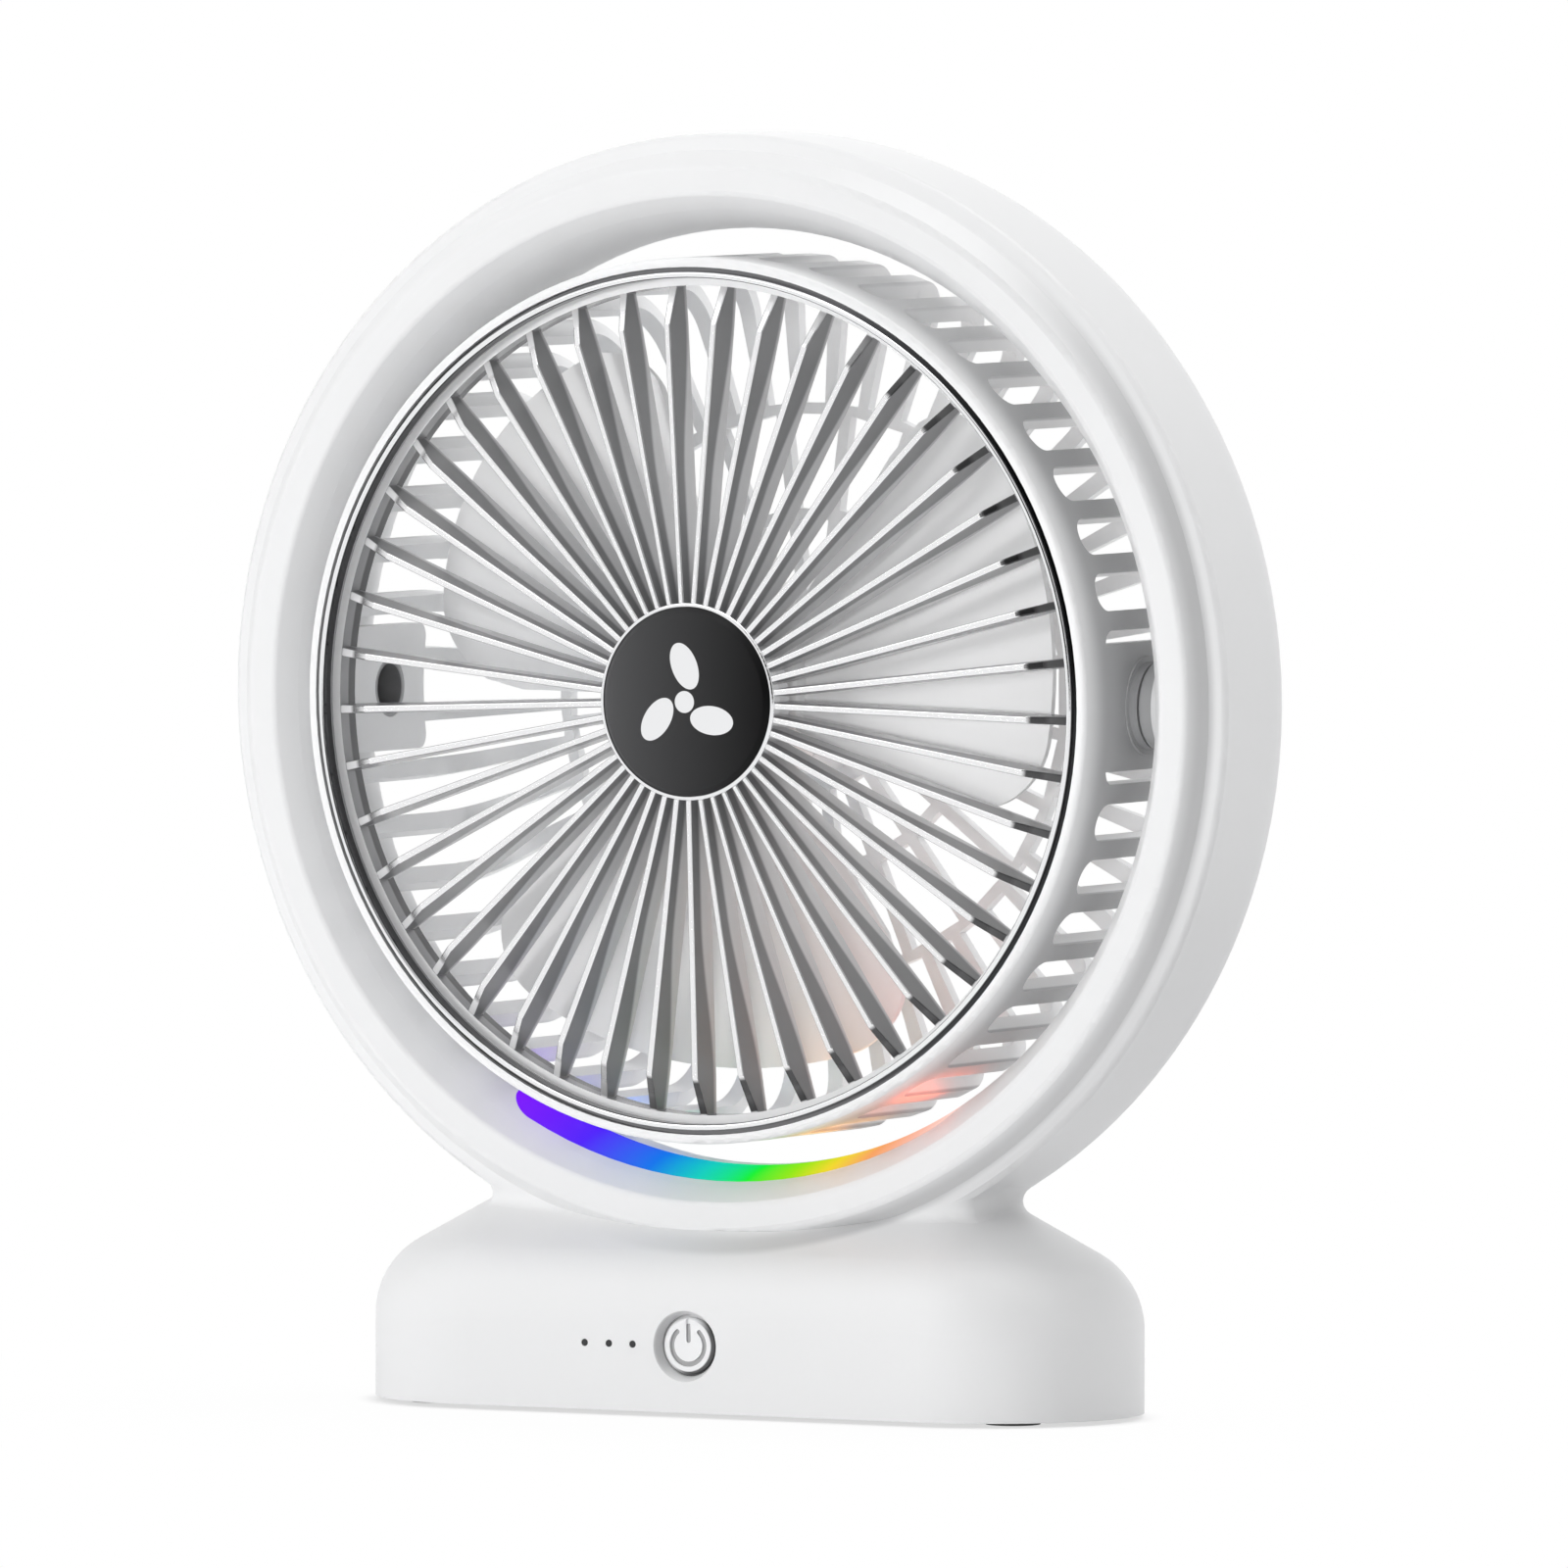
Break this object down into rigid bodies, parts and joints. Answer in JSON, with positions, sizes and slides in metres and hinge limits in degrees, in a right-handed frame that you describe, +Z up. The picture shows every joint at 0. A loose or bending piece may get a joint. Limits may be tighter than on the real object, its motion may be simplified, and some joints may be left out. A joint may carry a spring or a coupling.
{
  "type": "desk fan",
  "caption": "Desk fan: a round fan head tilts on side pivots inside a ring stand on a rounded base, with a power button and a light band.",
  "frame": {"origin": "on the floor plane under the middle of the base", "axes": "+X to the right as seen from the front, +Y to the back, +Z up; the fan blows towards -Y"},
  "size_m": [0.196, 0.053, 0.222],
  "materials": {
    "white_gloss": "gloss white moulded plastic",
    "white_satin": "white moulded plastic of the fan head",
    "silver_grille": "silver lacquered plastic grille",
    "chrome_trim": "bright plated trim",
    "badge_black": "black, soft gloss",
    "blade_grey": "pale grey plastic",
    "diffuser": "milky light diffuser",
    "led_tape": "white flexible tape with light chips",
    "plate_white": "matte white underside",
    "rubber": "dark rubber",
    "steel": "zinc-plated steel",
    "pin_plastic": "dark acetal",
    "cell_wrap": "blue cell sleeve",
    "circuit_board": "green circuit board",
    "switch_black": "black switch body",
    "light_pipe": "dark smoked light pipe",
    "ferrite": "dark ferrite",
    "bearing_bronze": "sintered bronze",
    "armature": "wound steel and copper"
  },
  "bodies": {
    "stand": {"stand_shell": "white_gloss", "ring_front_cover": "white_gloss", "light_diffuser": "diffuser", "led_strip": "led_tape", "base_plate": "plate_white", "rubber_feet": "rubber", "base_screws": "steel", "battery_cell": "cell_wrap", "control_board": "circuit_board", "board_screws": "steel", "tact_switch": "switch_black", "indicator_lights": "light_pipe", "usb_socket": "steel", "charging_board": "circuit_board", "pivot_bush_left": "white_satin", "pivot_bush_right": "white_satin"},
    "head": {"drum_shell": "white_satin", "front_grille": "silver_grille", "bezel_ring": "chrome_trim", "badge_ring": "chrome_trim", "badge_disc": "badge_black", "motor_can": "steel", "motor_magnets": "ferrite", "motor_end_cap": "pin_plastic", "motor_bearings": "bearing_bronze", "motor_screws": "steel", "motor_cover": "white_satin", "pivot_pin_left": "pin_plastic", "pivot_pin_right": "pin_plastic", "friction_washer_left": "steel", "friction_washer_right": "steel", "pivot_nut_left": "pin_plastic", "pivot_nut_right": "pin_plastic"},
    "rotor": {"impeller": "blade_grey", "motor_shaft": "steel", "motor_armature": "armature"},
    "button": {"power_button": "white_gloss", "switch_plunger": "switch_black"}
  },
  "joints": [
    {"name": "head_tilt", "type": "hinge", "parent": "stand", "child": "head", "pos_m": [0, 0, 0.124], "axis": [1, 0, 0], "range_deg": [-90, 90]},
    {"name": "impeller_spin", "type": "hinge", "parent": "head", "child": "rotor", "pos_m": [0, 0, 0.124], "axis": [0, 1, 0], "continuous": true},
    {"name": "button_press", "type": "slide", "parent": "stand", "child": "button", "axis": [0, 1, 0], "range_m": [0, 0.0008], "stiffness_N_per_m": 600, "springref_m": -0.0015}
  ]
}
